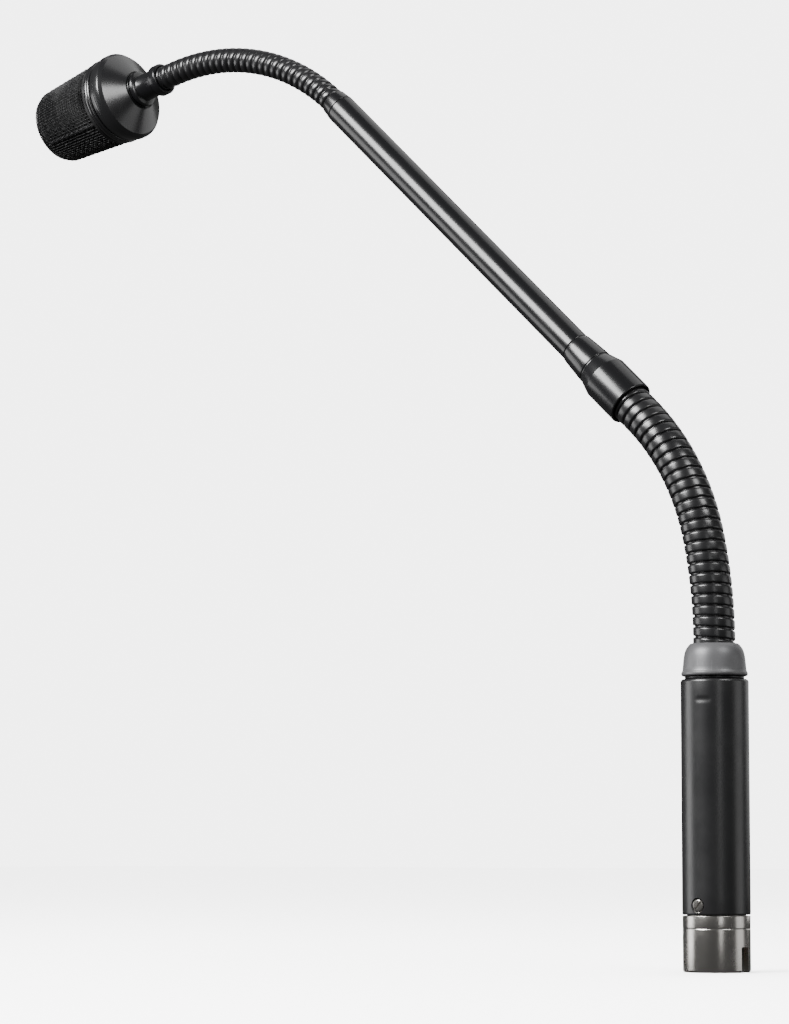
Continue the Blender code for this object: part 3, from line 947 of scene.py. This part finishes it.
def stage_material(name, base, roughness):
    made = bpy.data.materials.new(name)
    made.use_nodes = True
    shader = made.node_tree.nodes["Principled BSDF"]
    shader.inputs["Base Color"].default_value = (*base, 1.0)
    shader.inputs["Roughness"].default_value = roughness
    return made


def softbox(name, place, aim, width, height, watts):
    bpy.ops.object.light_add(type="AREA", location=place)
    lamp = bpy.context.active_object
    lamp.name = name
    lamp.data.shape = "RECTANGLE"
    lamp.data.size, lamp.data.size_y = width, height
    lamp.data.energy = watts
    lamp.rotation_euler = (Vector(aim) - Vector(place)).to_track_quat("-Z", "Y").to_euler()
    return lamp


CAMERA_TURN = 128.0


def from_camera(right, away, up):
    """A point given as seen from the camera: to its right, away from it, and above the floor,
    in metres from the foot of the base tube."""
    turn = radians(CAMERA_TURN)
    across, ahead = Vector((cos(turn), sin(turn), 0)), Vector((-sin(turn), cos(turn), 0))
    return across * right + ahead * away + Vector((0, 0, up))


NECK, FOOT, HEAD = (-0.08, 0.05, 0.2), (0, 0, 0.06), (-0.15, 0.12, 0.27)
# name, place and aim as from_camera takes them, width, height, watts
LAMPS = (
    ("key_light", (-0.88, -0.46, 0.76), NECK, 0.6, 0.5, 28),
    ("side_light", (-1.02, 0.25, 0.13), FOOT, 0.45, 0.45, 2.2),
    ("right_light", (1.0, -0.13, 0.12), FOOT, 0.6, 0.6, 1.1),
    ("front_light", (0.25, -1.3, 0.3), NECK, 0.25, 0.6, 0.8),
    ("top_light", (0.25, 0.45, 1.06), NECK, 0.9, 0.8, 2.4),
    ("over_light", (0.38, -0.49, 0.67), HEAD, 0.3, 0.3, 3),
    ("rear_light", (0.43, 0.56, 0.29), HEAD, 0.5, 0.5, 0.75),
)


class MICROPHONE_OT_stage(bpy.types.Operator):
    """Set the pale floor, the soft lights and the camera"""

    bl_idname = "microphone.stage"
    bl_label = "Stage"

    def execute(self, context):
        bpy.ops.object.select_all(action="DESELECT")
        bpy.ops.mesh.primitive_plane_add(size=8.0, location=(0, 0, 0))
        floor = bpy.context.active_object
        floor.name = "stage_floor"
        floor.data.materials.append(stage_material("pale_paper", (0.86, 0.86, 0.86), 0.9))
        floor.visible_glossy = floor.visible_diffuse = False
        self.backdrop(context)
        for name, place, aim, width, height, watts in LAMPS:
            softbox(name, from_camera(*place), from_camera(*aim), width, height, watts)
        bpy.ops.object.light_add(type="SUN", rotation=(radians(12), radians(-8), 0))
        sun = context.active_object
        sun.name = "paper_light"
        sun.data.energy = 18.0
        sun.data.angle = radians(70)
        paper = bpy.data.collections.new("paper_only")
        paper.objects.link(floor)
        sun.light_linking.receiver_collection = paper
        bpy.ops.object.camera_add()
        camera = bpy.context.active_object
        camera.name = "camera"
        camera.location = from_camera(-0.0726, -0.9969, 0.0344)
        direction = from_camera(-0.0168, 0.9999, 0.0940)
        camera.rotation_euler = direction.to_track_quat("-Z", "Y").to_euler()
        camera.data.lens = 125.4
        camera.data.sensor_width = 36.0
        context.scene.camera = camera
        return {"FINISHED"}

    def backdrop(self, context):
        """A white room to the camera, and a dim one to the pieces that mirror it."""
        world = bpy.data.worlds.new("studio")
        world.use_nodes = True
        tree = world.node_tree
        seen = tree.nodes["Background"]
        seen.inputs["Color"].default_value = (1.0, 1.0, 1.0, 1.0)
        seen.inputs["Strength"].default_value = 5.0
        dim = tree.nodes.new("ShaderNodeBackground")
        dim.inputs["Color"].default_value = (1.0, 1.0, 1.0, 1.0)
        dim.inputs["Strength"].default_value = 0.08
        path = tree.nodes.new("ShaderNodeLightPath")
        choose = tree.nodes.new("ShaderNodeMixShader")
        link(tree, path.outputs["Is Camera Ray"], choose.inputs["Fac"])
        link(tree, dim.outputs["Background"], choose.inputs[1])
        link(tree, seen.outputs["Background"], choose.inputs[2])
        link(tree, choose.outputs["Shader"], tree.nodes["World Output"].inputs["Surface"])
        context.scene.world = world


class MICROPHONE_PT_panel(bpy.types.Panel):
    """Lists the pieces in the order they are built"""

    bl_idname = "MICROPHONE_PT_panel"
    bl_label = "Gooseneck Microphone"
    bl_space_type = "VIEW_3D"
    bl_region_type = "UI"
    bl_category = "Microphone"

    def draw(self, context):
        for group in (context.scene.microphone_sizes, context.scene.microphone_finish):
            box = self.layout.box()
            for label in group.__annotations__:
                box.prop(group, label)
        for operator in OPERATORS:
            self.layout.operator(operator.bl_idname)


OPERATORS = (
    MICROPHONE_OT_finishes,
    MICROPHONE_OT_plug,
    MICROPHONE_OT_base_tube,
    MICROPHONE_OT_collar,
    MICROPHONE_OT_lower_neck,
    MICROPHONE_OT_stem,
    MICROPHONE_OT_upper_neck,
    MICROPHONE_OT_head,
    MICROPHONE_OT_grille,
    MICROPHONE_OT_inner_parts,
    MICROPHONE_OT_stage,
)
CLASSES = (MicrophoneSizes, MicrophoneFinish, *OPERATORS, MICROPHONE_PT_panel)


def register():
    for cls in CLASSES:
        bpy.utils.register_class(cls)
    bpy.types.Scene.microphone_sizes = PointerProperty(type=MicrophoneSizes)
    bpy.types.Scene.microphone_finish = PointerProperty(type=MicrophoneFinish)


def unregister():
    del bpy.types.Scene.microphone_finish
    del bpy.types.Scene.microphone_sizes
    for cls in reversed(CLASSES):
        bpy.utils.unregister_class(cls)


def main():
    register()
    bpy.ops.microphone.finishes()
    bpy.ops.microphone.plug()
    bpy.ops.microphone.base_tube()
    bpy.ops.microphone.collar()
    bpy.ops.microphone.lower_neck()
    bpy.ops.microphone.stem()
    bpy.ops.microphone.upper_neck()
    bpy.ops.microphone.head()
    bpy.ops.microphone.grille()
    bpy.ops.microphone.inner_parts()
    bpy.ops.microphone.stage()


if __name__ == "__main__":
    main()
